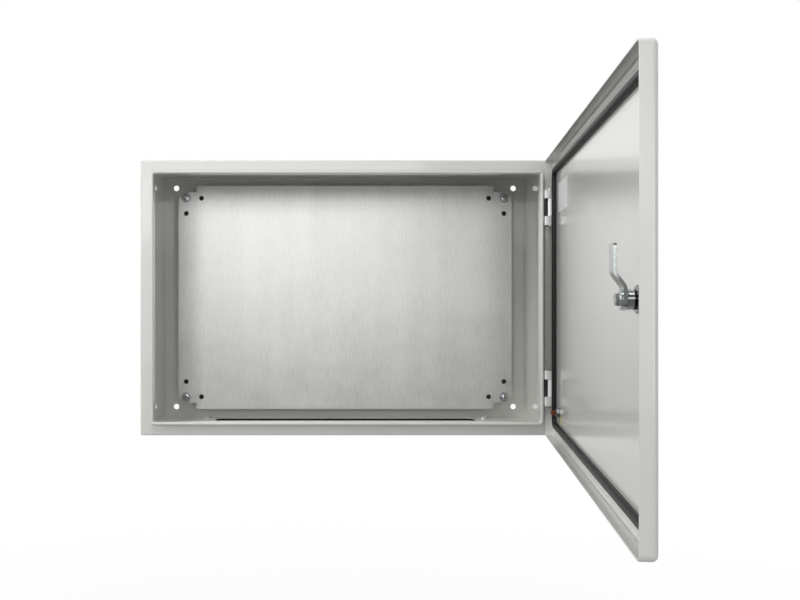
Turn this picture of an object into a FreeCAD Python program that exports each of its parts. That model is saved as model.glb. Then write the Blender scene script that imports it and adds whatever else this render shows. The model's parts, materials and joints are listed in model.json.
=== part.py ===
import FreeCAD, Part
import math
import os
import re
import Sketcher

# Steel wall enclosure, 600 wide, 400 high and 200 deep, with its door standing open.
# Millimetres. Origin: centre of the four wall holes on the rear outer face. The front faces -Y,
# +X is to the right and +Z is up, so a depth counted from the wall is -Y.

doc = FreeCAD.newDocument("wall_enclosure")
sheet = doc.addObject("Spreadsheet::Sheet", "Sizes")

# Driving dimensions
sizes = {
    # Box
    "width": 600, "height": 400, "depth": 200,
    "wall": 1.5, "wrap_corner": 3, "front_bend": 2.5,
    "hole_inset": 20, "hole_drop": 18.5, "hole_radius": 4.5,
    # Front frame and the raised lip round its opening
    "face_width": 16.2, "lip_height": 10, "lip_thickness": 4.6, "lip_corner": 6,
    "lip_return": 4, "lip_rim_radius": 2.2,
    # Cable opening in the bottom with its cover
    "cable_width": 422, "cable_depth": 84, "cable_from_wall": 9, "cable_corner": 12,
    "gland_gasket_width": 7, "gland_gasket_height": 3, "gland_plate_thickness": 2,
    "gland_screw_inset": 8, "gland_screw_radius": 2.5, "gland_screw_clearance": 0.4,
    "gland_head_size": 8, "gland_head_height": 3.6, "gland_nut_height": 4,
    "gland_row_pitch": 150, "gland_end_inset": 16,
    # Mounting plate on four weld studs
    "plate_side_gap": 27.5, "plate_top_gap": 17.5, "plate_thickness": 2, "plate_stand": 21,
    "stud_inset": 12.5, "stud_drop": 20, "stud_radius": 3, "stud_foot_radius": 5.5,
    "stud_foot_height": 1.2, "stud_tip": 3.4, "stud_clearance": 0.4,
    "slot_radius": 4.5, "inner_step": 17, "inner_step_rise": 9.8, "tab_rise": 2.8,
    "tab_corner": 4, "plate_hole_offset": 25, "plate_hole_radius": 4,
    "spacer_radius": 6.5, "plate_washer_radius": 7.1, "plate_washer_thickness": 1.5,
    "plate_nut_size": 10, "plate_nut_height": 5, "nut_chamfer": 0.6,
    # Door pan
    "door_side_gap": 2, "door_top_gap": 0.5, "door_wall": 1.5, "pan_depth": 15, "rim_gap": 3,
    "door_corner": 6.5, "door_edge_radius": 5, "open_angle": 82.55,
    "gasket_width": 8.5, "gasket_clearance": 0.2, "gasket_corner": 14, "gasket_dome": 3.8,
    # Concealed hinges
    "pivot_from_lip": 8.7, "pivot_from_face": 9, "hinge_inset": 69.5, "hinge_length": 51,
    "ear_length": 12.5, "ear_gap": 0.4, "eye_radius": 3.2, "knuckle_radius": 2.9,
    "pin_radius": 1.7, "pin_clearance": 0.05,
    "pin_overhang": 1.6, "pin_head_radius": 2.7, "pin_head_height": 1.2, "knuckle_play": 0.4,
    "bracket_gap": 1.4, "bracket_base_width": 6.5, "bracket_base_height": 2.5,
    "hinge_screw_offset": 6, "hinge_screw_radius": 1.5, "hinge_head_radius": 2.8,
    "hinge_head_height": 2.2, "hinge_screw_grip": 2, "notch_play": 1.5, "notch_floor": 3.5,
    "knuckle_stem": 4, "stem_past_pin": 0.7,
    # Cam lock
    "lock_inset": 50, "housing_radius": 8.8, "housing_flange_radius": 12.5,
    "housing_flange_height": 2.5, "housing_length": 13.3, "seal_thickness": 1,
    "seal_radius": 11.8, "lock_nut_size": 23, "lock_nut_height": 5, "lock_fit": 0.2,
    "barrel_radius": 5.8, "barrel_clearance": 0.05, "barrel_recess": 1, "barrel_bit": 9,
    "bit_radius": 1.5, "bit_wing": 3.8, "bit_wing_width": 1.4, "barrel_play": 0.2,
    "barrel_square": 8, "square_clearance": 0.05, "cam_thickness": 3, "cam_width": 18,
    "cam_crank": 8, "crank_start": 11, "crank_end": 22,
    "cam_bend": 5, "cam_reach": 46, "cam_tip_corner": 3,
    "cam_washer_radius": 8.5, "cam_washer_thickness": 1.5, "cam_bolt_radius": 3,
    "cam_bolt_clearance": 0.05, "cam_bolt_grip": 9, "cam_bolt_head_size": 10,
    "cam_bolt_head_height": 4,
    # Earth stud on the door
    "earth_inset": 52.5, "earth_rise": 40, "earth_radius": 3, "earth_length": 12,
    "earth_nut_size": 10, "earth_nut_height": 3.2, "earth_washer_radius": 6.5,
    "earth_washer_thickness": 0.8, "earth_clearance": 0.2,
}
for row, (alias, value) in enumerate(sizes.items(), start=1):
    sheet.set("A%d" % row, alias)
    sheet.set("B%d" % row, str(value))
    sheet.setAlias("B%d" % row, alias)
doc.recompute()

# Places that several pieces share, worked out from the driving dimensions
places = {
    "face_plane": "depth - pan_depth - rim_gap",
    "lip_outer_x": "width / 2 - face_width",
    "lip_outer_z": "height / 2 - face_width",
    "lip_inner_x": "lip_outer_x - lip_thickness",
    "lip_inner_z": "lip_outer_z - lip_thickness",
    "lip_front": "face_plane + lip_height",
    "hole_x": "width / 2 - hole_inset",
    "hole_z": "height / 2 - hole_drop",
    "cable_middle": "wall + cable_from_wall + cable_depth / 2",
    "gland_half_x": "cable_width / 2 + gland_gasket_width + 2 * gland_screw_inset",
    "gland_front": "cable_from_wall + cable_depth + gland_gasket_width + 2 * gland_screw_inset",
    "gland_rear": "cable_from_wall - gland_gasket_width",
    "gland_top": "- height / 2 - gland_gasket_height",
    "gland_row_depth": "wall + gland_front - gland_screw_inset",
    "gland_end_x": "gland_half_x - gland_screw_inset",
    "plate_half_x": "width / 2 - plate_side_gap",
    "plate_half_z": "height / 2 - plate_top_gap",
    "plate_rear": "wall + plate_stand",
    "plate_front": "plate_rear + plate_thickness",
    "stud_x": "plate_half_x - stud_inset",
    "stud_z": "plate_half_z - stud_drop",
    "stud_end": "plate_front + plate_washer_thickness + plate_nut_height + stud_tip",
    "door_half_x": "width / 2 - door_side_gap",
    "door_half_z": "height / 2 - door_top_gap",
    "door_rim": "face_plane + rim_gap",
    "door_inside": "depth - door_wall",
    "pivot_x": "lip_outer_x + pivot_from_lip",
    "pivot_depth": "face_plane + pivot_from_face",
    "ear_inner": "hinge_length / 2 - ear_length",
    "bracket_x": "lip_outer_x + bracket_gap",
    "hinge_height": "height / 2 - hinge_inset",
    "gasket_middle_x": "lip_inner_x + lip_thickness / 2",
    "gasket_middle_z": "lip_inner_z + lip_thickness / 2",
    "ear_front_x": "gasket_middle_x + gasket_width / 2 + ear_gap",
    "hinge_screw_x": "bracket_x + bracket_base_width / 2",
    "knuckle_half": "ear_inner - knuckle_play",
    "lock_x": "lock_inset - door_half_x",
    "housing_end": "door_inside - housing_length",
    "flange_back": "depth + seal_thickness",
    "flange_front": "flange_back + housing_flange_height",
    "cam_top": "housing_end - barrel_play",
    "cam_bottom": "cam_top - cam_thickness",
    "blade_top": "cam_top - cam_crank",
    "washer_bottom": "cam_bottom - cam_washer_thickness",
    "earth_x": "door_half_x - earth_inset",
    "earth_z": "earth_rise - door_half_z",
}


def bind(text):
    """Write a size or place out as an expression on the sheet's cells."""
    def expand(found):
        word = found.group()
        if word in places:
            return "(" + bind(places[word]) + ")"
        return "Sizes." + word if word in sizes else word
    return re.sub(r"[A-Za-z_]\w*", expand, str(text))


def number(text):
    """The same expression as a plain number."""
    return float(sheet.evalExpression(bind(text)))


def new_body(label, several=False):
    """An empty body; several lets it hold a group of like pieces as separate solids."""
    body = doc.addObject("PartDesign::Body", label)
    body.Label = label
    body.AllowCompound = several
    return body


def sketch_on(body, name, plane, offset):
    """A sketch parallel to an origin plane of the body, moved along its normal."""
    sketch = body.newObject("Sketcher::SketchObject", name)
    origin_plane = next(f for f in body.Origin.OriginFeatures if f.Role == plane)
    sketch.AttachmentSupport = [(origin_plane, "")]
    sketch.MapMode = "FlatFace"
    sketch.setExpression("AttachmentOffset.Base.z", bind(offset))
    return sketch


def front_sketch(body, name, depth_from_wall):
    """Sketch seen from the front: right is +X, up is +Z, its normal points away from the wall."""
    return sketch_on(body, name, "XZ_Plane", depth_from_wall)


def plan_sketch(body, name, level):
    """Sketch seen from above: right is +X, its normal points up."""
    return sketch_on(body, name, "XY_Plane", level)


def pin_point(sketch, index, point, x, y):
    """Hold a point of the sketch at two distances from its origin."""
    for kind, text in (("DistanceX", x), ("DistanceY", y)):
        held = sketch.addConstraint(Sketcher.Constraint(kind, -1, 1, index, point, number(text)))
        sketch.setExpression("Constraints[%d]" % held, bind(text))


def polygon(sketch, corners):
    """Closed outline of straight sides through corners given as pairs of expressions."""
    spots = [FreeCAD.Vector(number(x), number(y), 0) for x, y in corners]
    lines = [sketch.addGeometry(Part.LineSegment(a, b)) for a, b in zip(spots, spots[1:] + spots[:1])]
    for line, after in zip(lines, lines[1:] + lines[:1]):
        sketch.addConstraint(Sketcher.Constraint("Coincident", line, 2, after, 1))
    for line, (x, y) in zip(lines, corners):
        pin_point(sketch, line, 1, x, y)


def rectangle(sketch, left, low, right, high):
    """Closed outline with square corners."""
    polygon(sketch, [(left, low), (right, low), (right, high), (left, high)])


def circle(sketch, x, y, radius):
    """Full circle about a pinned centre."""
    index = sketch.addGeometry(Part.Circle(FreeCAD.Vector(number(x), number(y), 0),
                                           FreeCAD.Vector(0, 0, 1), number(radius)))
    pin_point(sketch, index, 3, x, y)
    held = sketch.addConstraint(Sketcher.Constraint("Radius", index, number(radius)))
    sketch.setExpression("Constraints[%d]" % held, bind(radius))


def hexagon(sketch, x, y, across_flats):
    """Hexagon with two flats upright, round a centre."""
    side = "(%s) / sqrt(3)" % across_flats
    corners = [("0", side), ("-(%s) / 2" % across_flats, side + " / 2"),
               ("-(%s) / 2" % across_flats, "-(%s) / 2" % side), ("0", "-(%s)" % side),
               ("(%s) / 2" % across_flats, "-(%s) / 2" % side),
               ("(%s) / 2" % across_flats, side + " / 2")]
    polygon(sketch, [("%s + %s" % (x, dx), "%s + %s" % (y, dy)) for dx, dy in corners])


def rounded_rectangle(sketch, left, low, right, high, radius):
    """Closed outline with four equal tangent corner arcs."""
    x0, y0, x1, y1, r = (number(value) for value in (left, low, right, high, radius))
    turn = FreeCAD.Vector(0, 0, 1)
    runs = [((x0 + r, y0), (x1 - r, y0)), ((x1, y0 + r), (x1, y1 - r)),
            ((x1 - r, y1), (x0 + r, y1)), ((x0, y1 - r), (x0, y0 + r))]
    centres = [(x1 - r, y0 + r), (x1 - r, y1 - r), (x0 + r, y1 - r), (x0 + r, y0 + r)]
    lines = [sketch.addGeometry(Part.LineSegment(FreeCAD.Vector(*a, 0), FreeCAD.Vector(*b, 0)))
             for a, b in runs]
    arcs = []
    for quarter, centre in enumerate(centres):
        round_corner = Part.Circle(FreeCAD.Vector(*centre, 0), turn, r)
        start, end = (quarter - 1) * math.pi / 2, quarter * math.pi / 2
        arcs.append(sketch.addGeometry(Part.ArcOfCircle(round_corner, start, end)))
    for i in range(4):
        sketch.addConstraint(Sketcher.Constraint("Tangent", lines[i], 2, arcs[i], 1))
        sketch.addConstraint(Sketcher.Constraint("Tangent", arcs[i], 2, lines[(i + 1) % 4], 1))
        sketch.addConstraint(Sketcher.Constraint("Vertical" if i % 2 else "Horizontal", lines[i]))
        if i:
            sketch.addConstraint(Sketcher.Constraint("Equal", arcs[0], arcs[i]))
    held = sketch.addConstraint(Sketcher.Constraint("Radius", arcs[0], r))
    sketch.setExpression("Constraints[%d]" % held, bind(radius))
    for kind, line, text in (("DistanceY", 0, low), ("DistanceX", 1, right),
                             ("DistanceY", 2, high), ("DistanceX", 3, left)):
        held = sketch.addConstraint(Sketcher.Constraint(kind, -1, 1, lines[line], 1, number(text)))
        sketch.setExpression("Constraints[%d]" % held, bind(text))


def centred_rectangle(sketch, half_x, half_z, radius):
    """Rounded outline centred on the sketch's origin."""
    rounded_rectangle(sketch, "-(%s)" % half_x, "-(%s)" % half_z, half_x, half_z, radius)


def pad(body, name, sketch, length, backwards=False):
    """Material along the sketch's normal."""
    feature = body.newObject("PartDesign::Pad", name)
    feature.Profile = sketch
    feature.Reversed = backwards
    feature.setExpression("Length", bind(length))
    doc.recompute()
    return feature


def pocket(body, name, sketch, length, along_normal=False):
    """A cut against the sketch's normal, or along it; it has to remove something."""
    before = body.Shape.Volume
    feature = body.newObject("PartDesign::Pocket", name)
    feature.Profile = sketch
    feature.Reversed = along_normal
    feature.setExpression("Length", bind(length))
    doc.recompute()
    assert body.Shape.Volume < before, name + " cuts nothing"
    return feature


# Edges nearer than this to a wanted place count as lying there
touching = 0.001


def dress(body, kind, name, size_name, size, wanted):
    """Fillet or Chamfer on the edges of the body that wanted() picks."""
    base = body.Tip
    edges = ["Edge%d" % i for i, edge in enumerate(base.Shape.Edges, start=1) if wanted(edge)]
    assert edges, name + " finds no edge"
    feature = body.newObject("PartDesign::" + kind, name)
    feature.Base = (base, edges)
    feature.setExpression(size_name, bind(size))
    doc.recompute()
    return feature


def fillet(body, name, radius, wanted):
    """Round off edges."""
    return dress(body, "Fillet", name, "Radius", radius, wanted)


def chamfer(body, name, size, wanted):
    """Bevel edges."""
    return dress(body, "Chamfer", name, "Size", size, wanted)


def at_depth(depth_from_wall):
    """Edges that lie wholly at one depth from the wall."""
    y = -number(depth_from_wall)
    return lambda edge: abs(edge.BoundBox.YMin - y) < touching and abs(edge.BoundBox.YMax - y) < touching


def upright_at(half_x, half_z):
    """Edges along the depth at the four corners of a centred rectangle."""
    x, z = number(half_x), number(half_z)

    def wanted(edge):
        box = edge.BoundBox
        return (abs(abs(box.XMin) - x) < touching and abs(abs(box.ZMin) - z) < touching
                and box.XLength < touching and box.ZLength < touching)
    return wanted


def open_with_door(body):
    """Turn a piece of the door about the hinge axis by the angle at which the door stands."""
    swing = "Sizes.open_angle * 1deg"
    upwards = FreeCAD.Vector(0, 0, 1)
    body.Placement = FreeCAD.Placement(FreeCAD.Vector(), FreeCAD.Rotation(upwards, number("open_angle")))
    body.setExpression("Placement.Rotation.Angle", swing)
    across, along = bind("pivot_x"), bind("pivot_depth")
    body.setExpression("Placement.Base.x", "%s * (1 - cos(%s)) - %s * sin(%s)"
                       % (across, swing, along, swing))
    body.setExpression("Placement.Base.y", "-%s * sin(%s) - %s * (1 - cos(%s))"
                       % (across, swing, along, swing))


corners = [(sx, sz) for sx in (-1, 1) for sz in (-1, 1)]

# Box wrap: top, bottom and sides from one folded strip, with the front frame and its lip
wrap = new_body("body_wrap")
walls = front_sketch(wrap, "wrap_walls", "0")
centred_rectangle(walls, "width / 2", "height / 2", "wrap_corner")
centred_rectangle(walls, "width / 2 - wall", "height / 2 - wall", "wrap_corner - wall")
pad(wrap, "wrap_wall_pad", walls, "face_plane")
frame_face = front_sketch(wrap, "frame_face", "face_plane - wall")
centred_rectangle(frame_face, "width / 2", "height / 2", "wrap_corner")
centred_rectangle(frame_face, "lip_inner_x", "lip_inner_z", "lip_corner - lip_thickness")
pad(wrap, "frame_face_pad", frame_face, "wall")
lip = front_sketch(wrap, "lip", "face_plane")
centred_rectangle(lip, "lip_outer_x", "lip_outer_z", "lip_corner")
centred_rectangle(lip, "lip_inner_x", "lip_inner_z", "lip_corner - lip_thickness")
pad(wrap, "lip_pad", lip, "lip_height")
lip_return = front_sketch(wrap, "lip_return_outline", "face_plane - lip_return")
centred_rectangle(lip_return, "lip_inner_x + wall", "lip_inner_z + wall", "lip_corner - wall")
centred_rectangle(lip_return, "lip_inner_x", "lip_inner_z", "lip_corner - lip_thickness")
pad(wrap, "lip_return_pad", lip_return, "lip_return - wall")
on_face = at_depth("face_plane")
past_lip_x, past_lip_z = number("lip_outer_x + lip_corner"), number("lip_outer_z + lip_corner")


def outer_front_edge(edge):
    """Edges of the frame face that lie outside its raised lip."""
    box = edge.BoundBox
    reach_x, reach_z = max(abs(box.XMin), abs(box.XMax)), max(abs(box.ZMin), abs(box.ZMax))
    return on_face(edge) and (reach_x > past_lip_x or reach_z > past_lip_z)


fillet(wrap, "front_bend", "front_bend", outer_front_edge)
fillet(wrap, "lip_rim", "lip_rim_radius", at_depth("lip_front"))
opening = plan_sketch(wrap, "cable_opening", "-height / 2")
rounded_rectangle(opening, "-cable_width / 2", "-(cable_middle + cable_depth / 2)",
                  "cable_width / 2", "-(cable_middle - cable_depth / 2)", "cable_corner")
pocket(wrap, "cable_opening_cut", opening, "wall", along_normal=True)

# Screw places of the gland plate: two at each end and a row along the front
gland_spots = [("%d * (gland_end_x)" % sx, "-(cable_middle + %d * (cable_depth / 2 - gland_end_inset))" % sy)
               for sx, sy in corners]
gland_spots += [("%d * gland_row_pitch" % place, "-(gland_row_depth)") for place in (-1, 0, 1)]
screw_holes = plan_sketch(wrap, "gland_screw_holes", "-height / 2")
for x, y in gland_spots:
    circle(screw_holes, x, y, "gland_screw_radius + gland_screw_clearance")
pocket(wrap, "gland_screw_hole_cut", screw_holes, "wall", along_normal=True)
hinge_sides = {"upper": 1, "lower": -1}
hinge_screws = [("hinge_screw_x", "%d * (hinge_height) + %d * hinge_screw_offset" % (side, step))
                for side in hinge_sides.values() for step in (-1, 1)]
bracket_holes = front_sketch(wrap, "bracket_holes", "face_plane")
for x, z in hinge_screws:
    circle(bracket_holes, x, z, "hinge_screw_radius + pin_clearance")
pocket(wrap, "bracket_hole_cut", bracket_holes, "wall")

# Rear wall set inside the wrap, with the four holes that hang the box
rear = new_body("rear_wall")
rear_outline = front_sketch(rear, "rear_outline", "0")
centred_rectangle(rear_outline, "width / 2 - wall", "height / 2 - wall", "wrap_corner - wall")
for sx, sz in corners:
    circle(rear_outline, "%d * (hole_x)" % sx, "%d * (hole_z)" % sz, "hole_radius")
pad(rear, "rear_pad", rear_outline, "wall")

# Mounting plate with stepped corners and stud slots that open upwards and downwards
plate = new_body("mounting_plate")
plate_outline = front_sketch(plate, "plate_outline", "plate_rear")
rectangle(plate_outline, "-(plate_half_x)", "-(plate_half_z)", "plate_half_x", "plate_half_z")
pad(plate, "plate_pad", plate_outline, "plate_thickness")
steps = front_sketch(plate, "corner_steps", "plate_front")
for sx, sz in corners:
    step_corners = [
        ("stud_x - inner_step", "plate_half_z + plate_thickness"),
        ("stud_x - inner_step", "stud_z + inner_step_rise"),
        ("stud_x - slot_radius", "stud_z + inner_step_rise"),
        ("stud_x - slot_radius", "stud_z"),
        ("stud_x + slot_radius", "stud_z"),
        ("stud_x + slot_radius", "stud_z + tab_rise"),
        ("plate_half_x + plate_thickness", "stud_z + tab_rise"),
        ("plate_half_x + plate_thickness", "plate_half_z + plate_thickness"),
    ]
    polygon(steps, [("%d * (%s)" % (sx, x), "%d * (%s)" % (sz, z)) for x, z in step_corners])
pocket(plate, "corner_step_cut", steps, "plate_thickness")
plate_holes = front_sketch(plate, "plate_holes", "plate_front")
for sx, sz in corners:
    circle(plate_holes, "%d * (stud_x)" % sx, "%d * (stud_z)" % sz, "slot_radius")
    circle(plate_holes, "%d * (stud_x - plate_hole_offset)" % sx, "%d * (stud_z)" % sz, "plate_hole_radius")
    circle(plate_holes, "%d * (stud_x)" % sx, "%d * (stud_z - plate_hole_offset)" % sz, "plate_hole_radius")
pocket(plate, "plate_hole_cut", plate_holes, "plate_thickness")
fillet(plate, "tab_corners", "tab_corner", upright_at("plate_half_x", "stud_z + tab_rise"))


def round_group(label, spots, stages, make_sketch):
    """Like round pieces: each stage is (start, length, outer radius, bore radius or None)."""
    body = new_body(label, several=True)
    for stage, (start, length, outer, bore) in enumerate(stages):
        outline = make_sketch(body, "%s_outline_%d" % (label, stage), start)
        for x, y in spots:
            circle(outline, x, y, outer)
            if bore:
                circle(outline, x, y, bore)
        pad(body, "%s_pad_%d" % (label, stage), outline, length)
    return body


def nut_group(label, spots, start, length, size, bore, make_sketch):
    """Like hexagon nuts or heads, their corners chamfered on the free side."""
    body = new_body(label, several=True)
    outline = make_sketch(body, label + "_outline", start)
    for x, y in spots:
        hexagon(outline, x, y, size)
        if bore:
            circle(outline, x, y, bore)
    pad(body, label + "_pad", outline, length)
    return body


# Four weld studs on the rear wall carry the plate on sleeves, under washers and nuts
stud_spots = [("%d * (stud_x)" % sx, "%d * (stud_z)" % sz) for sx, sz in corners]
stud_bore = "stud_radius + stud_clearance"
studs = round_group("plate_studs", stud_spots, [
    ("wall", "stud_foot_height", "stud_foot_radius", None),
    ("wall + stud_foot_height", "stud_end - wall - stud_foot_height", "stud_radius", None),
], front_sketch)
chamfer(studs, "stud_tips", "nut_chamfer", at_depth("stud_end"))
round_group("plate_spacers", stud_spots, [
    ("wall + stud_foot_height", "plate_stand - stud_foot_height", "spacer_radius", stud_bore),
], front_sketch)
round_group("plate_washers", stud_spots, [
    ("plate_front", "plate_washer_thickness", "plate_washer_radius", stud_bore),
], front_sketch)
plate_nuts = nut_group("plate_nuts", stud_spots, "plate_front + plate_washer_thickness",
                       "plate_nut_height", "plate_nut_size", "stud_radius + pin_clearance", front_sketch)
chamfer(plate_nuts, "plate_nut_corners", "nut_chamfer",
        at_depth("plate_front + plate_washer_thickness + plate_nut_height"))

# Gland plate under the bottom on a foam gasket, with screws into nuts inside the box
gasket = new_body("gland_gasket")
gasket_outline = plan_sketch(gasket, "gasket_ring", "gland_top")
rounded_rectangle(gasket_outline, "-(cable_width / 2 + gland_gasket_width)",
                  "-(cable_middle + cable_depth / 2 + gland_gasket_width)",
                  "cable_width / 2 + gland_gasket_width",
                  "-(cable_middle - cable_depth / 2 - gland_gasket_width)",
                  "cable_corner + gland_gasket_width")
rounded_rectangle(gasket_outline, "-cable_width / 2", "-(cable_middle + cable_depth / 2)",
                  "cable_width / 2", "-(cable_middle - cable_depth / 2)", "cable_corner")
pad(gasket, "gasket_ring_pad", gasket_outline, "gland_gasket_height")
gland = new_body("gland_plate")
gland_outline = plan_sketch(gland, "gland_outline", "gland_top")
rounded_rectangle(gland_outline, "-(gland_half_x)", "-(wall + gland_front)",
                  "gland_half_x", "-(wall + gland_rear)", "gland_screw_inset / 2")
for x, y in gland_spots:
    circle(gland_outline, x, y, "gland_screw_radius + gland_screw_clearance")
pad(gland, "gland_pad", gland_outline, "gland_plate_thickness", backwards=True)
gland_under = "gland_top - gland_plate_thickness"
screws = nut_group("gland_screws", gland_spots, gland_under + " - gland_head_height",
                   "gland_head_height", "gland_head_size", None, plan_sketch)
low = number(gland_under + " - gland_head_height")
chamfer(screws, "gland_head_corners", "nut_chamfer",
        lambda edge: abs(edge.BoundBox.ZMax - low) < touching)
shanks = plan_sketch(screws, "gland_shanks", gland_under)
for x, y in gland_spots:
    circle(shanks, x, y, "gland_screw_radius")
pad(screws, "gland_shank_pad", shanks,
    "gland_plate_thickness + gland_gasket_height + wall + gland_nut_height")
nut_group("gland_nuts", gland_spots, "wall - height / 2", "gland_nut_height", "gland_head_size",
          "gland_screw_radius + pin_clearance", plan_sketch)

# Concealed hinges: two ears on the frame face hold a pin, and the door's knuckle turns between them
for place, side in hinge_sides.items():
    middle = "%d * (hinge_height)" % side
    bracket = new_body("hinge_bracket_" + place, several=True)
    base = plan_sketch(bracket, "base_" + place, "%s - hinge_length / 2" % middle)
    rectangle(base, "bracket_x", "-(face_plane + bracket_base_height)",
              "bracket_x + bracket_base_width", "-(face_plane)")
    pad(bracket, "base_pad_" + place, base, "hinge_length")
    for end, start in (("low", "%s - hinge_length / 2" % middle), ("high", "%s + ear_inner" % middle)):
        stem = plan_sketch(bracket, "stem_%s_%s" % (place, end), start)
        polygon(stem, [("bracket_x", "-(face_plane)"), ("bracket_x", "-(pivot_depth)"),
                       ("ear_front_x", "-(pivot_depth)"), ("ear_front_x", "-(pivot_depth + eye_radius)"),
                       ("pivot_x", "-(pivot_depth + eye_radius)"), ("pivot_x", "-(face_plane)")])
        pad(bracket, "stem_pad_%s_%s" % (place, end), stem, "ear_length")
        eye = plan_sketch(bracket, "eye_%s_%s" % (place, end), start)
        circle(eye, "pivot_x", "-(pivot_depth)", "eye_radius")
        pad(bracket, "eye_pad_%s_%s" % (place, end), eye, "ear_length")
    bore = plan_sketch(bracket, "bore_" + place, "%s - hinge_length / 2" % middle)
    circle(bore, "pivot_x", "-(pivot_depth)", "pin_radius + pin_clearance")
    pocket(bracket, "bore_cut_" + place, bore, "hinge_length", along_normal=True)
    threads = front_sketch(bracket, "threads_" + place, "face_plane")
    for step in (-1, 1):
        circle(threads, "hinge_screw_x", "%s + %d * hinge_screw_offset" % (middle, step),
               "hinge_screw_radius + pin_clearance")
    pocket(bracket, "thread_cut_" + place, threads, "hinge_screw_grip + pin_clearance", along_normal=True)

    pin = new_body("hinge_pin_" + place, several=True)
    shaft = plan_sketch(pin, "pin_shaft_" + place, "%s - hinge_length / 2 - pin_overhang" % middle)
    circle(shaft, "pivot_x", "-(pivot_depth)", "pin_radius")
    pad(pin, "pin_shaft_pad_" + place, shaft, "hinge_length + pin_overhang")
    head = plan_sketch(pin, "pin_head_" + place, "%s + hinge_length / 2" % middle)
    circle(head, "pivot_x", "-(pivot_depth)", "pin_head_radius")
    pad(pin, "pin_head_pad_" + place, head, "pin_head_height")

    knuckle = new_body("hinge_knuckle_" + place)
    leaf = plan_sketch(knuckle, "leaf_" + place, "%s - knuckle_half" % middle)
    rectangle(leaf, "pivot_x + stem_past_pin - knuckle_stem", "-(door_inside)",
              "pivot_x + stem_past_pin", "-(pivot_depth)")
    pad(knuckle, "leaf_pad_" + place, leaf, "2 * (knuckle_half)")
    barrel = plan_sketch(knuckle, "barrel_" + place, "%s - knuckle_half" % middle)
    circle(barrel, "pivot_x", "-(pivot_depth)", "knuckle_radius")
    pad(knuckle, "barrel_pad_" + place, barrel, "2 * (knuckle_half)")
    bore = plan_sketch(knuckle, "knuckle_bore_" + place, "%s - knuckle_half" % middle)
    circle(bore, "pivot_x", "-(pivot_depth)", "pin_radius + pin_clearance")
    pocket(knuckle, "knuckle_bore_cut_" + place, bore, "2 * (knuckle_half)", along_normal=True)
    open_with_door(knuckle)

# Screws behind the frame face hold the two brackets
round_group("hinge_bracket_screws", hinge_screws, [
    ("face_plane - wall - hinge_head_height", "hinge_head_height", "hinge_head_radius", None),
    ("face_plane - wall", "wall + hinge_screw_grip", "hinge_screw_radius", None),
], front_sketch)

# Door: folded pan with rounded edges, notched at both hinges
door = new_body("door_panel")
pan = front_sketch(door, "pan", "door_rim")
centred_rectangle(pan, "door_half_x", "door_half_z", "door_corner")
pad(door, "pan_pad", pan, "pan_depth")
fillet(door, "pan_edges", "door_edge_radius", at_depth("depth"))
tray = front_sketch(door, "tray", "door_rim")
centred_rectangle(tray, "door_half_x - door_wall", "door_half_z - door_wall", "door_corner - door_wall")
pocket(door, "tray_cut", tray, "pan_depth - door_wall", along_normal=True)
fillet(door, "tray_edges", "door_edge_radius - door_wall", at_depth("door_inside"))
lock_hole = front_sketch(door, "lock_hole", "depth")
circle(lock_hole, "lock_x", "0", "housing_radius + lock_fit")
pocket(door, "lock_hole_cut", lock_hole, "door_wall")
notches = sketch_on(door, "hinge_notches", "YZ_Plane", "door_half_x")
for side in hinge_sides.values():
    rectangle(notches, "-(depth - notch_floor)", "%d * (hinge_height) - hinge_length / 2 - notch_play" % side,
              "-(door_rim)", "%d * (hinge_height) + hinge_length / 2 + notch_play" % side)
pocket(door, "hinge_notch_cut", notches, "door_edge_radius")
open_with_door(door)

# Foamed seal on the door that closes on the lip
seal = new_body("door_gasket")
seal_ring = front_sketch(seal, "seal_ring", "lip_front + gasket_clearance")
centred_rectangle(seal_ring, "gasket_middle_x + gasket_width / 2", "gasket_middle_z + gasket_width / 2",
                  "gasket_corner")
centred_rectangle(seal_ring, "gasket_middle_x - gasket_width / 2", "gasket_middle_z - gasket_width / 2",
                  "gasket_corner - gasket_width")
pad(seal, "seal_ring_pad", seal_ring, "door_inside - lip_front - gasket_clearance")
fillet(seal, "seal_dome", "gasket_dome", at_depth("lip_front + gasket_clearance"))
open_with_door(seal)

# Cam lock: housing through the door with its flange outside on a seal and its nut inside
lock_spot = [("lock_x", "0")]
housing = round_group("lock_housing", lock_spot, [
    ("housing_end", "flange_back - housing_end", "housing_radius", "barrel_radius + barrel_clearance"),
    ("flange_back", "housing_flange_height", "housing_flange_radius", "barrel_radius + barrel_clearance"),
], front_sketch)
open_with_door(housing)
open_with_door(round_group("lock_seal", lock_spot, [
    ("depth", "seal_thickness", "seal_radius", "housing_radius + lock_fit"),
], front_sketch))
lock_nut = nut_group("lock_nut", lock_spot, "door_inside - lock_nut_height", "lock_nut_height",
                     "lock_nut_size", "housing_radius + pin_clearance", front_sketch)
chamfer(lock_nut, "lock_nut_corners", "nut_chamfer", at_depth("door_inside - lock_nut_height"))
open_with_door(lock_nut)

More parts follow.
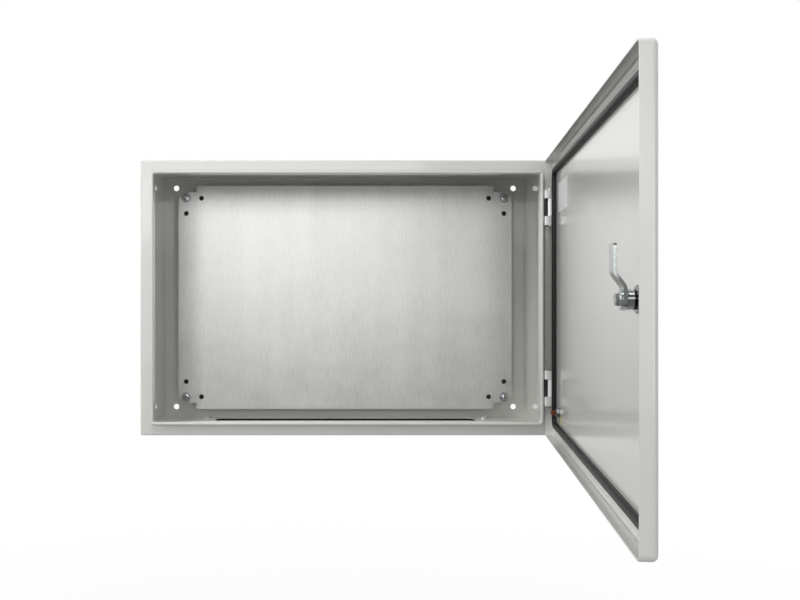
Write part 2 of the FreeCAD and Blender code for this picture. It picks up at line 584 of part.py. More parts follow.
# Barrel with a recessed double-bit key pin in front and a square for the cam behind
barrel = round_group("lock_barrel", lock_spot, [
    ("cam_top", "flange_front - barrel_recess - cam_top", "barrel_radius", None),
], front_sketch)
square = front_sketch(barrel, "barrel_square_outline", "cam_top")
rectangle(square, "lock_x - barrel_square / 2", "-barrel_square / 2",
          "lock_x + barrel_square / 2", "barrel_square / 2")
pad(barrel, "barrel_square_pad", square, "cam_thickness", backwards=True)
key_well = front_sketch(barrel, "key_well", "flange_front - barrel_recess")
circle(key_well, "lock_x", "0", "barrel_radius - bit_radius")
circle(key_well, "lock_x", "0", "bit_radius")
pocket(barrel, "key_well_cut", key_well, "barrel_bit")
wings = front_sketch(barrel, "bit_wings", "flange_front - barrel_recess - barrel_bit")
rectangle(wings, "lock_x - bit_wing", "-bit_wing_width / 2", "lock_x + bit_wing", "bit_wing_width / 2")
pad(barrel, "bit_wing_pad", wings, "barrel_bit - barrel_recess")
bolt_bore = front_sketch(barrel, "bolt_bore", "cam_bottom")
circle(bolt_bore, "lock_x", "0", "cam_bolt_radius + cam_bolt_clearance")
pocket(barrel, "bolt_bore_cut", bolt_bore, "cam_bolt_grip - cam_washer_thickness", along_normal=True)
open_with_door(barrel)

# Cranked cam: a flat hub on the barrel, a double bend and a blade that goes behind the lip
cam = new_body("lock_cam")
cam_side = sketch_on(cam, "cam_side", "YZ_Plane", "lock_x - cam_width / 2")
polygon(cam_side, [
    ("-(cam_top)", "-cam_width / 2"), ("-(cam_top)", "crank_start"),
    ("-(blade_top)", "crank_end"), ("-(blade_top)", "cam_reach"),
    ("-(blade_top - cam_thickness)", "cam_reach"),
    ("-(blade_top - cam_thickness)", "crank_end - cam_thickness / 4"),
    ("-(cam_bottom)", "crank_start - cam_thickness / 4"), ("-(cam_bottom)", "-cam_width / 2"),
])
pad(cam, "cam_pad", cam_side, "cam_width")
square_hole = front_sketch(cam, "square_hole", "cam_top")
rectangle(square_hole, "lock_x - barrel_square / 2 - square_clearance",
          "-barrel_square / 2 - square_clearance",
          "lock_x + barrel_square / 2 + square_clearance", "barrel_square / 2 + square_clearance")
pocket(cam, "square_hole_cut", square_hole, "cam_thickness")


def cam_corner(level):
    """Edges along the depth at a level of the cam, on both its sides."""
    z = number(level)

    def wanted(edge):
        box = edge.BoundBox
        return abs(box.ZMin - z) < touching and box.ZLength < touching and box.XLength < touching
    return wanted


def cam_bend_at(depth_from_wall, level):
    """The edge across the cam at one bend of its side outline."""
    y, z = -number(depth_from_wall), number(level)

    def wanted(edge):
        middle = edge.BoundBox.Center
        return abs(middle.y - y) < touching and abs(middle.z - z) < touching
    return wanted


lower_inside = "crank_start - cam_thickness / 4"
upper_outside = "crank_end - cam_thickness / 4"
fillet(cam, "lower_bend_outside", "cam_bend + cam_thickness", cam_bend_at("cam_top", "crank_start"))
fillet(cam, "lower_bend_inside", "cam_bend", cam_bend_at("cam_bottom", lower_inside))
fillet(cam, "upper_bend_inside", "cam_bend", cam_bend_at("blade_top", "crank_end"))
fillet(cam, "upper_bend_outside", "cam_bend + cam_thickness",
       cam_bend_at("blade_top - cam_thickness", upper_outside))
fillet(cam, "hub_round", "cam_width / 2 - cam_thickness / 4", cam_corner("-cam_width / 2"))
fillet(cam, "tip_corners", "cam_tip_corner", cam_corner("cam_reach"))
open_with_door(cam)
open_with_door(round_group("cam_washer", lock_spot, [
    ("washer_bottom", "cam_washer_thickness", "cam_washer_radius", "cam_bolt_radius + lock_fit"),
], front_sketch))
cam_bolt = nut_group("cam_bolt", lock_spot, "washer_bottom - cam_bolt_head_height",
                     "cam_bolt_head_height", "cam_bolt_head_size", None, front_sketch)
chamfer(cam_bolt, "cam_bolt_corners", "nut_chamfer", at_depth("washer_bottom - cam_bolt_head_height"))
bolt_shank = front_sketch(cam_bolt, "cam_bolt_shank", "washer_bottom")
circle(bolt_shank, "lock_x", "0", "cam_bolt_radius")
pad(cam_bolt, "cam_bolt_shank_pad", bolt_shank, "cam_bolt_grip")
open_with_door(cam_bolt)

# Earth stud on the inside of the door, with its nut between two washers
earth_spot = [("earth_x", "earth_z")]
earth = round_group("door_earth_stud", earth_spot, [
    ("door_inside - earth_length", "earth_length", "earth_radius", None),
], front_sketch)
chamfer(earth, "earth_tip", "nut_chamfer", at_depth("door_inside - earth_length"))
open_with_door(earth)
first_washer = "door_inside - earth_washer_thickness"
nut_start = "door_inside - earth_washer_thickness - earth_nut_height"
earth_bore = "earth_radius + earth_clearance"
open_with_door(round_group("door_earth_washers", earth_spot, [
    (first_washer, "earth_washer_thickness", "earth_washer_radius", earth_bore),
    (nut_start + " - earth_washer_thickness", "earth_washer_thickness", "earth_washer_radius", earth_bore),
], front_sketch))
open_with_door(nut_group("door_earth_nut", earth_spot, nut_start, "earth_nut_height",
                         "earth_nut_size", "earth_radius + pin_clearance", front_sketch))

doc.recompute()
for item in doc.Objects:
    assert not {"Invalid", "Error"} & set(item.State), item.Label + " failed"
pieces = [item for item in doc.Objects if item.TypeId == "PartDesign::Body"]
for piece in pieces:
    assert not piece.Shape.isNull() and piece.Shape.isValid(), piece.Label + " has no sound shape"
os.makedirs("parts", exist_ok=True)
for piece in pieces:
    piece.Shape.exportStep("parts/%s.step" % piece.Label)
    print(piece.Label, len(piece.Shape.Solids), "solids", round(piece.Shape.Volume / 1000, 2), "cm3")
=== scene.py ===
import bpy
import bmesh
import json
import math
from mathutils import Matrix, Vector


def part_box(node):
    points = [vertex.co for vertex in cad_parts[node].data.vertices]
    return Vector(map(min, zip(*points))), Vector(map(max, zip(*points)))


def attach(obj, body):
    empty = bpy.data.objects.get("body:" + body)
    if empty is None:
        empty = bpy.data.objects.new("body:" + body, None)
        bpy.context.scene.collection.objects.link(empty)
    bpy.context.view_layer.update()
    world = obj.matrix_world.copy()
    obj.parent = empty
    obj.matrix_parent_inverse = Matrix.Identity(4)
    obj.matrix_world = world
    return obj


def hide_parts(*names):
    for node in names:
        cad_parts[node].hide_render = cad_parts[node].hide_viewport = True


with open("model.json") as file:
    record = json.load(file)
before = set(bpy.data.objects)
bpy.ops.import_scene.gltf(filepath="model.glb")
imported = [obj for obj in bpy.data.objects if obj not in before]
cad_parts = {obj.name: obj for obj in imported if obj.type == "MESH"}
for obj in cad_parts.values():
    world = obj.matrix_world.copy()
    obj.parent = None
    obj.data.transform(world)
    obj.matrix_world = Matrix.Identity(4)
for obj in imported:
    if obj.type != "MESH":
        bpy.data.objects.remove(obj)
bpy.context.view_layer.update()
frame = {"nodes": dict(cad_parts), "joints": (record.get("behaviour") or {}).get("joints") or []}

# Camera
# Level with the middle of the box and square on to it, so that uprights stay upright.
# The picture's centre is moved to the right by the lens shift, as with a view camera.
scene = bpy.context.scene
FOCAL_PIXELS = 852.4
PICTURE_WIDTH = 800
PICTURE_CENTRE = (400, 300)
VANISHING_POINT = (331.2, 295.5)
SENSOR_WIDTH = 36
CAMERA_PLACE = (-0.0227, -1.4196, 0.0033)
NEAREST_SEEN = 0.05
camera_data = bpy.data.cameras.new("camera")
camera_data.sensor_width = SENSOR_WIDTH
camera_data.lens = FOCAL_PIXELS * SENSOR_WIDTH / PICTURE_WIDTH
camera_data.shift_x = (PICTURE_CENTRE[0] - VANISHING_POINT[0]) / PICTURE_WIDTH
camera_data.shift_y = (VANISHING_POINT[1] - PICTURE_CENTRE[1]) / PICTURE_WIDTH
camera_data.clip_start = NEAREST_SEEN
camera = bpy.data.objects.new("camera", camera_data)
camera.location = CAMERA_PLACE
camera.rotation_euler = (math.radians(90), 0, 0)
scene.collection.objects.link(camera)
scene.camera = camera
scene.view_settings.view_transform = "Standard"


# Studio
# A white floor well below the box, a surround that is plain white to the camera and runs from
# grey in front to white behind in reflections, and five broad soft lamps: two keys on the left
# and above, a long one in front for the plate's upper half, and two fills in front.
class Signal:
    """An output socket that can be used in arithmetic; each step adds a Math node."""

    def __init__(self, wires, socket):
        self.wires = wires
        self.socket = socket

    def _math(self, operation, first, second):
        return self.wires.node("ShaderNodeMath", {"operation": operation}, {0: first, 1: second})

    def __add__(self, other):
        return self._math("ADD", self, other)

    def __radd__(self, other):
        return self._math("ADD", other, self)

    def __sub__(self, other):
        return self._math("SUBTRACT", self, other)

    def __rsub__(self, other):
        return self._math("SUBTRACT", other, self)

    def __mul__(self, other):
        return self._math("MULTIPLY", self, other)

    def __rmul__(self, other):
        return self._math("MULTIPLY", other, self)

    def magnitude(self):
        return self._math("ABSOLUTE", self, 0)

    def soft_step(self, low, high):
        """0 below low, 1 above high and smooth between; low may be the larger one."""
        settings = {"interpolation_type": "SMOOTHSTEP", "clamp": True}
        return self.wires.node("ShaderNodeMapRange", settings,
                               {"Value": self, "From Min": low, "From Max": high})


class Wires:
    """The node tree of a material or of the world."""

    def __init__(self, tree):
        self.tree = tree
        tree.nodes.clear()

    def feed(self, socket, value):
        if isinstance(value, Signal):
            self.tree.links.new(value.socket, socket)
        elif isinstance(value, tuple) and socket.type == "RGBA":
            socket.default_value = (*value, 1)
        else:
            socket.default_value = value

    def node(self, kind, settings=None, sockets=None, out=0):
        """Any node: its settings come first, then what its sockets hold or are fed with."""
        made = self.tree.nodes.new(kind)
        for key, value in (settings or {}).items():
            setattr(made, key, value)
        for key, value in (sockets or {}).items():
            self.feed(made.inputs[key], value)
        return Signal(self, made.outputs[out]) if made.outputs else None

    def outputs(self, kind, sockets=None):
        """All the outputs of a node that has several, by name."""
        made = self.node(kind, sockets=sockets).socket.node
        return {output.name: Signal(self, output) for output in made.outputs}

    def mix(self, factor, first, second):
        """Colour mix of two colours, given as three numbers or as signals."""
        return self.node("ShaderNodeMix", {"data_type": "RGBA"}, {0: factor, 6: first, 7: second}, out=2)

    def place(self):
        """Where the point is on the object, in metres."""
        return self.node("ShaderNodeTexCoord", out=3)

    def axes(self, place):
        """How far the point is to the right, to the back and upwards."""
        parts = self.outputs("ShaderNodeSeparateXYZ", {0: place})
        return parts["X"], parts["Y"], parts["Z"]

    def stretched(self, place, x, y, z):
        """The place scaled along each axis, for streaks."""
        return self.node("ShaderNodeVectorMath", {"operation": "MULTIPLY"}, {0: place, 1: (x, y, z)})

    def noise(self, place, scale, detail=2.0, roughness=0.5):
        return self.node("ShaderNodeTexNoise", sockets={
            "Vector": place, "Scale": scale, "Detail": detail, "Roughness": roughness})

    def bump(self, height, strength, distance):
        return self.node("ShaderNodeBump", sockets={
            "Height": height, "Strength": strength, "Distance": distance})


def new_material(name):
    material = bpy.data.materials.new(name)
    material.use_nodes = True
    return material, Wires(material.node_tree)


WHITE = (1.0, 1.0, 1.0)
FLOOR_LEVEL = -1.1
FLOOR_SIZE = 20
FLOOR_GREY = (0.4, 0.4, 0.4)
WHITE_UNDER_BOX = 0.96
ALL_WHITE_FROM, ALL_WHITE_AT = 1.0, 3.0
FIRST_RISE, SECOND_RISE = (0, 1), (4.5, 6.5)
FIRST_SHARE = 0.4
half = FLOOR_SIZE / 2
floor_mesh = bpy.data.meshes.new("floor")
floor_mesh.from_pydata([(-half, -half, FLOOR_LEVEL), (half, -half, FLOOR_LEVEL),
                        (half, half, FLOOR_LEVEL), (-half, half, FLOOR_LEVEL)], [], [(0, 1, 2, 3)])
floor = bpy.data.objects.new("floor", floor_mesh)
scene.collection.objects.link(floor)
floor_white, wires = new_material("floor_white")
rays = wires.outputs("ShaderNodeLightPath")
matt = wires.node("ShaderNodeBsdfDiffuse", sockets={"Color": FLOOR_GREY})
glow = wires.node("ShaderNodeEmission", sockets={"Color": WHITE, "Strength": 1.0})
across, along, _ = wires.axes(wires.place())
far_off = (across * across + along * along).soft_step(ALL_WHITE_FROM ** 2, ALL_WHITE_AT ** 2)
to_camera = rays["Is Camera Ray"] * (far_off * (1 - WHITE_UNDER_BOX) + WHITE_UNDER_BOX)
sweep = along.soft_step(*FIRST_RISE) * FIRST_SHARE + along.soft_step(*SECOND_RISE) * (1 - FIRST_SHARE)
white_share = to_camera + rays["Is Glossy Ray"] * sweep
seen = wires.node("ShaderNodeMixShader", sockets={0: white_share, 1: matt, 2: glow})
wires.node("ShaderNodeOutputMaterial", sockets={"Surface": seen})
floor_mesh.materials.append(floor_white)

SKY_LOW = (0.06, 0.06, 0.06)
SKY_HIGH = (0.42, 0.42, 0.42)
SKY_RISE = (-0.12, 0.2)
BACKDROP_EDGE = (-0.1, 0.35)
world = bpy.data.worlds.new("studio")
scene.world = world
world.use_nodes = True
wires = Wires(world.node_tree)
looked_at = wires.outputs("ShaderNodeLightPath")["Is Camera Ray"]
_, along, upwards = wires.axes(wires.node("ShaderNodeTexCoord", out=0))
front = wires.mix(upwards.soft_step(*SKY_RISE), SKY_LOW, SKY_HIGH)
surround = wires.mix(along.soft_step(*BACKDROP_EDGE), front, WHITE)
around = wires.node("ShaderNodeBackground", sockets={"Color": surround})
white = wires.node("ShaderNodeBackground", sockets={"Color": WHITE, "Strength": 1.0})
both = wires.node("ShaderNodeMixShader", sockets={0: looked_at, 1: around, 2: white})
wires.node("ShaderNodeOutputWorld", sockets={"Surface": both})


def soft_lamp(name, place, target, width, height, watts):
    data = bpy.data.lights.new(name, "AREA")
    data.shape = "RECTANGLE"
    data.size = width
    data.size_y = height
    data.energy = watts
    lamp = bpy.data.objects.new(name, data)
    lamp.location = place
    lamp.rotation_euler = (Vector(target) - Vector(place)).to_track_quat("-Z", "Y").to_euler()
    scene.collection.objects.link(lamp)


soft_lamp("left_key", (-1.9, -0.95, 0.6), target=(0, -0.2, 0), width=0.8, height=1.0, watts=13)
soft_lamp("high_key", (-0.4, -0.95, 1.35), target=(0, -0.15, 0), width=0.9, height=0.6, watts=8.5)
soft_lamp("plate_glow", (-0.38, -2.4, 0.50), target=(-0.1, 0, 0), width=1.5, height=0.55, watts=5.8)
soft_lamp("front_fill", (-0.2, -2.6, 0.1), target=(0, 0, 0), width=1.6, height=0.8, watts=4)
soft_lamp("right_fill", (1.0, -2.3, 0.1), target=(-0.3, -0.1, 0), width=0.8, height=0.8, watts=5)

# Painted shell
# Top, bottom, sides, frame and rear wall of 1.5 mm sheet, folded and welded, then coated in
# light grey powder paint with a fine orange-peel texture. The nuts in the bottom that hold the
# cable plate are painted over with the rest.
MM = 0.001
SHEET = 1.5 * MM
PAINT = (0.70, 0.694, 0.662)
PAINT_SHADE = 0.965
UNLIT = (0.07, 0.07, 0.066)
FRAME_WIDTH = 16.2 * MM
WELD_WIDTH = 0.6 * MM
WELD_SINK = 1.5
FOOT_SHADE = 0.5
CHANNEL_SHADE = 0.3
CHANNEL_END = (188 * MM, 135 * MM)
CORNER_STEP = 25 * MM
COVERED_FROM = 1 * MM
COVER_FADE = 3 * MM
nodes = frame["nodes"]
wrap_low, wrap_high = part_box("body_wrap")


def finish_material(wires, sockets):
    """Principled shader with these sockets, joined to the output."""
    shader = wires.node("ShaderNodeBsdfPrincipled", sockets=sockets)
    wires.node("ShaderNodeOutputMaterial", sockets={"Surface": shader})


def wear(material, *names):
    """Give CAD nodes their material."""
    for name in names:
        nodes[name].data.materials.clear()
        nodes[name].data.materials.append(material)


def powder_coat(name, gloss, sheen, seams=None, hidden=None):
    """Powder paint; seams gives a height for ground welds from the place, and hidden a share
    of shade for what lies in a gap or behind a plate."""
    material, wires = new_material(name)
    place = wires.place()
    peel = wires.noise(place, 520, detail=3.0, roughness=0.6)
    waves = wires.noise(place, 7)
    height = peel
    if seams:
        height = peel + seams(wires, place)
    colour = wires.mix(waves, tuple(channel * PAINT_SHADE for channel in PAINT), PAINT)
    if hidden:
        colour = wires.mix(hidden(wires, place), colour, UNLIT)
    finish_material(wires, {
        "Base Color": colour,
        "Roughness": peel * 0.08 + gloss,
        "Normal": wires.bump(height, strength=0.3, distance=0.12 * MM),
        "Coat Weight": 1.0,
        "Coat Roughness": sheen,
    })
    return material


def in_front(along, behind_lip):
    """1 from the lip's front edge to this far behind it, and 0 from 2 mm further back."""
    return along.soft_step(wrap_low.y + behind_lip + 2 * MM, wrap_low.y + behind_lip)


def mitred_corners(wires, place):
    """A shallow ground weld across each corner of the front frame."""
    across, along, upwards = wires.axes(place)
    from_side = wrap_high.x - across.magnitude()
    from_end = wrap_high.z - upwards.magnitude()
    off_mitre = (from_side - from_end).magnitude()
    return off_mitre.soft_step(WELD_WIDTH, 0) * in_front(along, 12 * MM) * -WELD_SINK


def painted_shade_by_lip(wires, place):
    """A share of painted shade under the lip's upper side, and beside it on the hinge side."""
    across, along, upwards = wires.axes(place)
    lip_side, lip_end = wrap_high.x - FRAME_WIDTH, wrap_high.z - FRAME_WIDTH
    foot = (upwards - lip_end - 0.4 * MM).magnitude().soft_step(1.4 * MM, 0.3 * MM)
    foot = foot * across.magnitude().soft_step(lip_side + 1 * MM, lip_side)
    channel = across.soft_step(lip_side - 0.2 * MM, lip_side + 0.2 * MM)
    channel = channel * upwards.magnitude().soft_step(*CHANNEL_END)
    return (channel * CHANNEL_SHADE + foot * FOOT_SHADE) * in_front(along, 10 * MM)


def behind_plate(wires, place):
    """1 on the part of the rear wall that the mounting plate keeps the light from."""
    across, along, upwards = wires.axes(place)
    plate_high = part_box("mounting_plate")[1]

    def covered(distance, margin):
        return distance.soft_step(margin, margin + COVER_FADE)

    from_side = plate_high.x - across.magnitude()
    from_end = plate_high.z - upwards.magnitude()
    wide = covered(from_side, COVERED_FROM) * covered(from_end, CORNER_STEP)
    tall = covered(from_side, CORNER_STEP) * covered(from_end, COVERED_FROM)
    inner_face = along.soft_step(-0.4 * SHEET, -SHEET * 2 / 3)
    return (wide + tall) * inner_face


wear(powder_coat("light_grey_powder_coat", 0.32, 0.05, seams=mitred_corners, hidden=painted_shade_by_lip),
     "body_wrap", "gland_plate")
wear(powder_coat("rear_wall_powder_coat", 0.32, 0.05, hidden=behind_plate), "rear_wall")
wear(powder_coat("gland_nut_powder_coat", 0.5, 0.4), "gland_nuts")

# Mounting plate
# Galvanised sheet, 2 mm thick, with the fine upright grain of the rolling mill and faint
# clouds of the zinc bath. It is hung on the four weld studs.
galvanised_sheet, wires = new_material("galvanised_sheet")
place = wires.place()
grain = wires.noise(wires.stretched(place, 650, 650, 45), 1.0, detail=4.0, roughness=0.65)
bands = wires.noise(wires.stretched(place, 30, 30, 1.6), 1.0, detail=3.0, roughness=0.55)
clouds = wires.noise(place, 16, detail=3.0, roughness=0.6)
brightness = (bands * 0.2 + grain * 0.5 + clouds * 0.3).soft_step(0.28, 0.72)
finish_material(wires, {
    "Base Color": wires.mix(brightness, (0.58, 0.58, 0.57), (0.78, 0.775, 0.765)),
    "Metallic": 1.0,
    "Roughness": grain * 0.10 + clouds * 0.08 + 0.30,
    "Normal": wires.bump(grain + clouds * 0.6, strength=0.25, distance=0.08 * MM),
})
wear(galvanised_sheet, "mounting_plate")

# Plate fixings
# Weld studs, sleeves, washers and hexagon nuts of zinc-plated steel, at the plate's four
# corners. The studs carry an M6 thread, and the nuts are chamfered on both faces.
BOX_BODY = "enclosure"
zinc_plate, wires = new_material("bright_zinc_plate")
place = wires.place()
mottle = wires.noise(place, 420, detail=3.0)
finish_material(wires, {
    "Base Color": wires.mix(mottle, (0.40, 0.445, 0.455), (0.68, 0.70, 0.695)),
    "Metallic": 1.0,
    "Roughness": mottle * 0.14 + 0.07,
    "Normal": wires.bump(wires.noise(place, 2200), strength=0.2, distance=0.05 * MM),
})
# Darker zinc plate. On the plate's washers it is painted shade, a dark ring round each nut; the earth
# stud's nut and washers wear it too.
dull_zinc_and_shade, wires = new_material("dull_zinc_plate_and_shade")
smudge = wires.noise(wires.place(), 600, detail=3.0)
finish_material(wires, {
    "Base Color": wires.mix(smudge, (0.20, 0.21, 0.23), (0.38, 0.40, 0.42)),
    "Metallic": 1.0,
    "Roughness": smudge * 0.2 + 0.25,
})
wear(dull_zinc_and_shade, "plate_washers")
wear(zinc_plate, "plate_spacers", "gland_screws")

THREAD_DEPTH = 0.6
CHAMFER_SLOPE = math.tan(math.radians(30))
FACE_SHARE = 0.97
RIM_SHARE = 0.02
BORE_CHAMFER = 1.12
STEPS_ROUND = 24
STEPS_PER_TURN = 6
SHARP_EDGE = math.radians(35)


def standing(place, direction):
    """Matrix that puts a shape drawn along +Z at a place, pointing in a direction."""
    return Matrix.Translation(place) @ Vector(direction).to_track_quat("Z", "X").to_matrix().to_4x4()


def round_ring(radius, height):
    turn = 2 * math.pi / STEPS_ROUND
    return [(radius * math.cos(i * turn), radius * math.sin(i * turn), height)
            for i in range(STEPS_ROUND)]


def hexagon_ring(across_flats, height, inwards):
    """Ring round a hexagon whose corners a 30 degree cone cuts back along the axis."""
    ring = []
    for i in range(STEPS_ROUND):
        angle = 2 * math.pi * i / STEPS_ROUND
        from_flat = (angle + math.pi / 6) % (math.pi / 3) - math.pi / 6
        radius = across_flats / 2 / math.cos(from_flat)
        cut = (radius - across_flats / 2) * CHAMFER_SLOPE
        ring.append((radius * math.cos(angle), radius * math.sin(angle), height + inwards * cut))
    return ring


def nut_rings(across_flats, height, bore):
    """Hexagon nut from its lower bore edge round its outside to its upper bore edge."""
    face = across_flats / 2 * FACE_SHARE
    mouth = bore * BORE_CHAMFER
    rim = RIM_SHARE * height
    return [round_ring(bore, height * 0.1), round_ring(mouth, 0), round_ring(face, 0),
            hexagon_ring(across_flats, rim, 1), hexagon_ring(across_flats, height - rim, -1),
            round_ring(face, height), round_ring(mouth, height), round_ring(bore, height * 0.9)]


def thread_rings(radius, length, pitch):
    """Screw thread that runs up a rod, with a chamfered start at its upper end."""
    rings = []
    steps = int(length / pitch * STEPS_PER_TURN)
    for step in range(steps + 1):
        height = length * step / steps
        free = min(radius, radius - pitch / 2 + (length - height))
        ring = []
        for i in range(STEPS_ROUND):
            phase = (height / pitch - i / STEPS_ROUND) % 1
            groove = pitch * THREAD_DEPTH * (1 - abs(2 * phase - 1))
            angle = 2 * math.pi * i / STEPS_ROUND
            reach = min(free, radius - groove)
            ring.append((reach * math.cos(angle), reach * math.sin(angle), height))
        rings.append(ring)
    return rings


def make_piece(name, parts, material, body, replaced=()):
    """One object from parts, each a list of rings and the matrix that places it."""
    shape = bmesh.new()
    for rings, matrix in parts:
        rows = [[shape.verts.new(matrix @ Vector(point)) for point in ring] for ring in rings]
        for row, after in zip(rows, rows[1:]):
            for i in range(len(row)):
                j = (i + 1) % len(row)
                shape.faces.new((row[i], row[j], after[j], after[i]))
        shape.faces.new(list(reversed(rows[0])))
        shape.faces.new(rows[-1])
    shape.normal_update()
    for face in shape.faces:
        face.smooth = True
    for edge in shape.edges:
        if edge.calc_face_angle(0) > SHARP_EDGE:
            edge.smooth = False
    mesh = bpy.data.meshes.new(name)
    shape.to_mesh(mesh)
    shape.free()
    mesh.materials.append(material)
    piece = bpy.data.objects.new(name, mesh)
    scene.collection.objects.link(piece)
    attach(piece, body)
    if replaced:
        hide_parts(*replaced)


FRONT = (0, -1, 0)
M6_PITCH = 1.0 * MM
M6_RADIUS = 3.0 * MM
M6_FLATS = 10 * MM
STUD_FOOT_RADIUS = 5.5 * MM
STUD_FOOT_HEIGHT = 1.2 * MM
stud_low, stud_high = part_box("plate_studs")
nut_low, nut_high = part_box("plate_nuts")
foot_rings = [round_ring(STUD_FOOT_RADIUS, height) for height in (0, STUD_FOOT_HEIGHT)]
thread_start = stud_high.y - STUD_FOOT_HEIGHT
rod_rings = thread_rings(M6_RADIUS, thread_start - stud_low.y, M6_PITCH)
plate_nut_rings = nut_rings(M6_FLATS, nut_high.y - nut_low.y, M6_RADIUS)
studs, nuts = [], []
for side in (-1, 1):
    for end in (-1, 1):
        x = side * (stud_high.x - STUD_FOOT_RADIUS)
        z = end * (stud_high.z - STUD_FOOT_RADIUS)
        studs.append((foot_rings, standing((x, stud_high.y, z), FRONT)))
        studs.append((rod_rings, standing((x, thread_start, z), FRONT)))
        nuts.append((plate_nut_rings, standing((x, nut_high.y, z), FRONT)))
make_piece("plate_stud_threads", studs, zinc_plate, BOX_BODY, ("plate_studs",))
make_piece("plate_hexagon_nuts", nuts, zinc_plate, BOX_BODY, ("plate_nuts",))

# Hinges
# Die-cast zinc ears and knuckles, satin, with the soft skin that comes out of the mould. Pins
# and screws are zinc-plated steel. The ears' middle is painted dark: painted shade of the channel.
SHADED_MIDDLE = 12.6 * MM
die_cast_zinc, wires = new_material("die_cast_zinc")
place = wires.place()
skin = wires.noise(place, 900, detail=3.0)
_, along, upwards = wires.axes(place)
ear_low, ear_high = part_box("hinge_bracket_upper")
# Painted shade: the ears' middle, between them and towards the back, is mixed to near black.
off_middle = (upwards.magnitude() - (ear_low.z + ear_high.z) / 2).magnitude()
middle = off_middle.soft_step(SHADED_MIDDLE + 0.4 * MM, SHADED_MIDDLE)
middle = middle * along.soft_step(ear_high.y - 4 * MM, ear_high.y - 3 * MM)
silver = wires.mix(skin, (0.90, 0.91, 0.90), (0.97, 0.97, 0.96))
finish_material(wires, {
    "Base Color": wires.mix(middle, silver, (0.05, 0.05, 0.05)),
    "Metallic": 0.2,
    "Roughness": 0.25,
    "Normal": wires.bump(skin, strength=0.1, distance=0.02 * MM),
})
wear(die_cast_zinc, "hinge_bracket_upper", "hinge_bracket_lower", "hinge_knuckle_upper",
     "hinge_knuckle_lower")
wear(zinc_plate, "hinge_pin_upper", "hinge_pin_lower", "hinge_bracket_screws")

# Seals
# Black foamed polyurethane, matt with fine pores, poured on the door's inner side, and cut
# from foam sheet under the cable plate and behind the lock's flange.
seal_foam, wires = new_material("black_seal_foam")
place = wires.place()
pores = wires.noise(place, 1500, detail=4.0, roughness=0.7)
swell = wires.noise(place, 60)
finish_material(wires, {
    "Base Color": wires.mix(pores, (0.004, 0.004, 0.004), (0.011, 0.011, 0.011)),
    "Roughness": pores * 0.1 + 0.38,
    "Normal": wires.bump(pores + swell * 2, strength=0.3, distance=0.15 * MM),
    "Specular IOR Level": 0.28,
})
wear(seal_foam, "door_gasket", "gland_gasket", "lock_seal")

# Door
# Folded pan in the same powder coat as the box, with a blank white rating label and a small
# plain yellow sticker beside the earth stud on its inner sheet.
DOOR_BODY = "door"
OPEN_ANGLE = math.radians(82.55)
DOOR_FRONT = -200 * MM
INNER_SHEET = DOOR_FRONT + SHEET
HINGE_EDGE_SHADE = 0.6
HINGE_EDGE_END = (196 * MM, 125 * MM)
joints = {joint["name"]: joint for joint in frame["joints"]}
hinge = Vector(joints["door_hinge"]["pos_m"])
door_turn = Matrix.Translation(hinge) @ Matrix.Rotation(OPEN_ANGLE, 4, "Z") @ Matrix.Translation(-hinge)


def inside_hinge_edge(wires, place):
    """A share of shade on the inner side of the pan's folded edge beside the hinges."""
    across, along, upwards = wires.axes(place)
    past_hinge = (across - hinge.x) * math.cos(OPEN_ANGLE) + (along - hinge.y) * math.sin(OPEN_ANGLE)
    channel = past_hinge.soft_step(-4 * MM, -2 * MM) * past_hinge.soft_step(4.9 * MM, 4.6 * MM)
    return channel * upwards.magnitude().soft_step(*HINGE_EDGE_END) * HINGE_EDGE_SHADE


wear(powder_coat("door_powder_coat", 0.28, 0.14, hidden=inside_hinge_edge), "door_panel")

STICKER_THICKNESS = 0.12 * MM
FIBRE_SHADE = 0.95


def sticker(name, left, right, low, high, colour):
    """Thin blank sheet on the door's inner side; left and right are distances from the hinge."""
    material, wires = new_material(name + "_film")
    fibre = wires.noise(wires.place(), 900)
    finish_material(wires, {
        "Base Color": wires.mix(fibre, tuple(channel * FIBRE_SHADE for channel in colour), colour),
        "Roughness": fibre * 0.1 + 0.25,
    })
    left, right = hinge.x - left, hinge.x - right
    outline = [(left, low), (right, low), (right, high), (left, high)]
    rings = [[(x, INNER_SHEET + rise, z) for x, z in outline] for rise in (0, STICKER_THICKNESS)]
    make_piece(name, [(rings, door_turn)], material, DOOR_BODY)


sticker("rating_label", left=36 * MM, right=120 * MM, low=119 * MM, high=160 * MM,
        colour=(0.86, 0.86, 0.86))
sticker("earth_sticker", left=52 * MM, right=70 * MM, low=-174 * MM, high=-163 * MM,
        colour=(0.62, 0.58, 0.30))

# Cam lock
# Chromed housing with a fine thread, its hexagon nut inside, a key barrel, and a bent cam of
# zinc-plated strip held on the barrel's square by a washer and an M6 bolt.
CAM_BODY = "cam"
INWARD = (0, 1, 0)
LOCK_PLACE = (-248 * MM, 0)
HOUSING_RADIUS = 8.8 * MM
HOUSING_LENGTH = 13.3 * MM
HOUSING_PITCH = 1.5 * MM
HOUSING_BORE = 5.9 * MM
FLANGE_RADIUS = 12.5 * MM
FLANGE_BACK = 2.5 * MM
FLANGE_FRONT = 5.0 * MM
LOCK_NUT_FLATS = 23 * MM
LOCK_NUT_HEIGHT = 5 * MM
BOLT_SEAT = INNER_SHEET + 18 * MM
BOLT_HEAD_HEIGHT = 4 * MM


def joint_shade(off_sheet, middle, half_width):
    """1 in the painted shade at the joint between two pieces of the lock, and 0 from 0.7 mm beside it."""
    return (off_sheet - middle).magnitude().soft_step(half_width + 0.7 * MM, half_width)


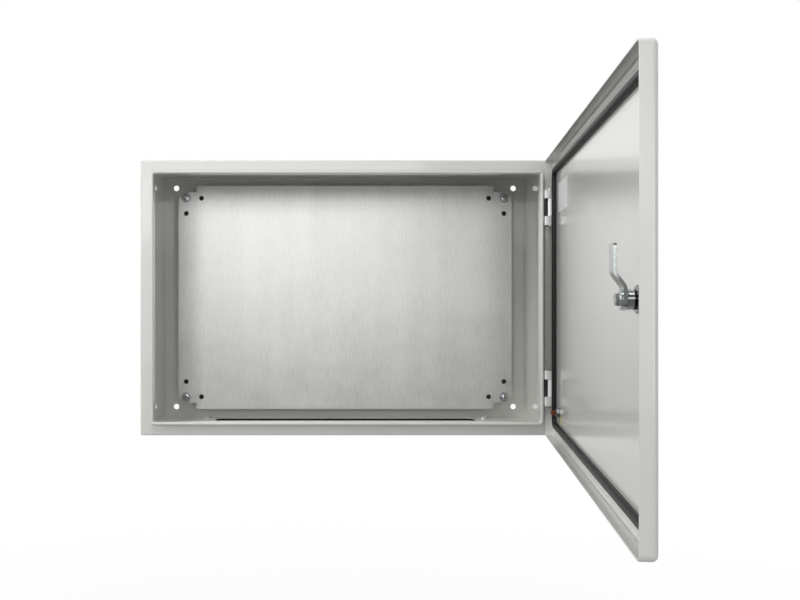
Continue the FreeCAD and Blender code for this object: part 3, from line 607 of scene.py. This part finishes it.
dull_chrome, wires = new_material("dull_chrome")
place = wires.place()
haze = wires.noise(place, 500, detail=3.0)
across, along, _ = wires.axes(place)
lock_foot = door_turn @ Vector((LOCK_PLACE[0], INNER_SHEET, LOCK_PLACE[1]))
off_sheet = (lock_foot.x - across) * math.sin(OPEN_ANGLE) + (along - lock_foot.y) * math.cos(OPEN_ANGLE)
shade = joint_shade(off_sheet, 0.7 * MM, 0.8 * MM) + joint_shade(off_sheet, 6.2 * MM, 0.9 * MM)
chrome = wires.mix(haze, (0.34, 0.35, 0.36), (0.62, 0.63, 0.64))
finish_material(wires, {
    "Base Color": wires.mix(shade, chrome, (0.03, 0.03, 0.03)),
    "Metallic": 1.0,
    "Roughness": haze * 0.10 + 0.04,
})
wear(dull_chrome, "lock_barrel")
wear(zinc_plate, "lock_cam", "cam_washer")


def through_door(place, depth, direction):
    """Matrix for a shape on the door, given where it is with the door shut."""
    return door_turn @ standing((place[0], depth, place[1]), direction)


def head_rings(across_flats, height):
    """Hexagon bolt head, flat underneath and with a round face on top."""
    face = across_flats / 2 * FACE_SHARE
    return [hexagon_ring(across_flats, 0, 0), hexagon_ring(across_flats, height * (1 - RIM_SHARE), -1),
            round_ring(face, height), round_ring(face * 0.9, height * 0.97)]


flange_rings = [round_ring(radius, height) for radius, height in (
    (HOUSING_RADIUS, 0), (HOUSING_RADIUS, FLANGE_BACK), (FLANGE_RADIUS, FLANGE_BACK),
    (FLANGE_RADIUS, FLANGE_FRONT - 0.9 * MM), (FLANGE_RADIUS - 0.2 * MM, FLANGE_FRONT - 0.4 * MM),
    (FLANGE_RADIUS - 0.7 * MM, FLANGE_FRONT - 0.1 * MM), (FLANGE_RADIUS - 1.3 * MM, FLANGE_FRONT),
    (HOUSING_BORE + 0.7 * MM, FLANGE_FRONT), (HOUSING_BORE, FLANGE_FRONT - 0.5 * MM),
    (HOUSING_BORE, -3.0 * MM))]
make_piece("threaded_lock_housing", [
    (thread_rings(HOUSING_RADIUS, HOUSING_LENGTH, HOUSING_PITCH),
     through_door(LOCK_PLACE, INNER_SHEET, INWARD)),
    (flange_rings, through_door(LOCK_PLACE, INNER_SHEET, FRONT)),
], dull_chrome, DOOR_BODY, ("lock_housing",))
make_piece("lock_hexagon_nut", [
    (nut_rings(LOCK_NUT_FLATS, LOCK_NUT_HEIGHT, HOUSING_RADIUS),
     through_door(LOCK_PLACE, INNER_SHEET, INWARD)),
], dull_chrome, DOOR_BODY, ("lock_nut",))
make_piece("cam_bolt_head", [
    (head_rings(M6_FLATS, BOLT_HEAD_HEIGHT), through_door(LOCK_PLACE, BOLT_SEAT, INWARD)),
], zinc_plate, CAM_BODY, ("cam_bolt",))

# Earth stud
# Copper-plated weld stud on the inside of the door, with a zinc-plated nut and two washers,
# where an earth wire can be clamped.
EARTH_PLACE = (245.5 * MM, -159.5 * MM)
EARTH_STUD_LENGTH = 12 * MM
EARTH_NUT_SEAT = INNER_SHEET + 0.8 * MM
EARTH_NUT_HEIGHT = 3.2 * MM
copper, wires = new_material("copper_plate")
stain = wires.noise(wires.place(), 700, detail=3.0)
finish_material(wires, {
    "Base Color": wires.mix(stain, (0.20, 0.07, 0.035), (0.42, 0.17, 0.08)),
    "Metallic": 1.0,
    "Roughness": stain * 0.2 + 0.3,
    "Normal": wires.bump(stain, strength=0.2, distance=0.05 * MM),
})
make_piece("earth_stud_thread", [
    (thread_rings(M6_RADIUS, EARTH_STUD_LENGTH, M6_PITCH),
     through_door(EARTH_PLACE, INNER_SHEET, INWARD)),
], copper, DOOR_BODY, ("door_earth_stud",))
make_piece("earth_hexagon_nut", [
    (nut_rings(M6_FLATS, EARTH_NUT_HEIGHT, M6_RADIUS), through_door(EARTH_PLACE, EARTH_NUT_SEAT, INWARD)),
], dull_zinc_and_shade, DOOR_BODY, ("door_earth_nut",))
wear(dull_zinc_and_shade, "door_earth_washers")
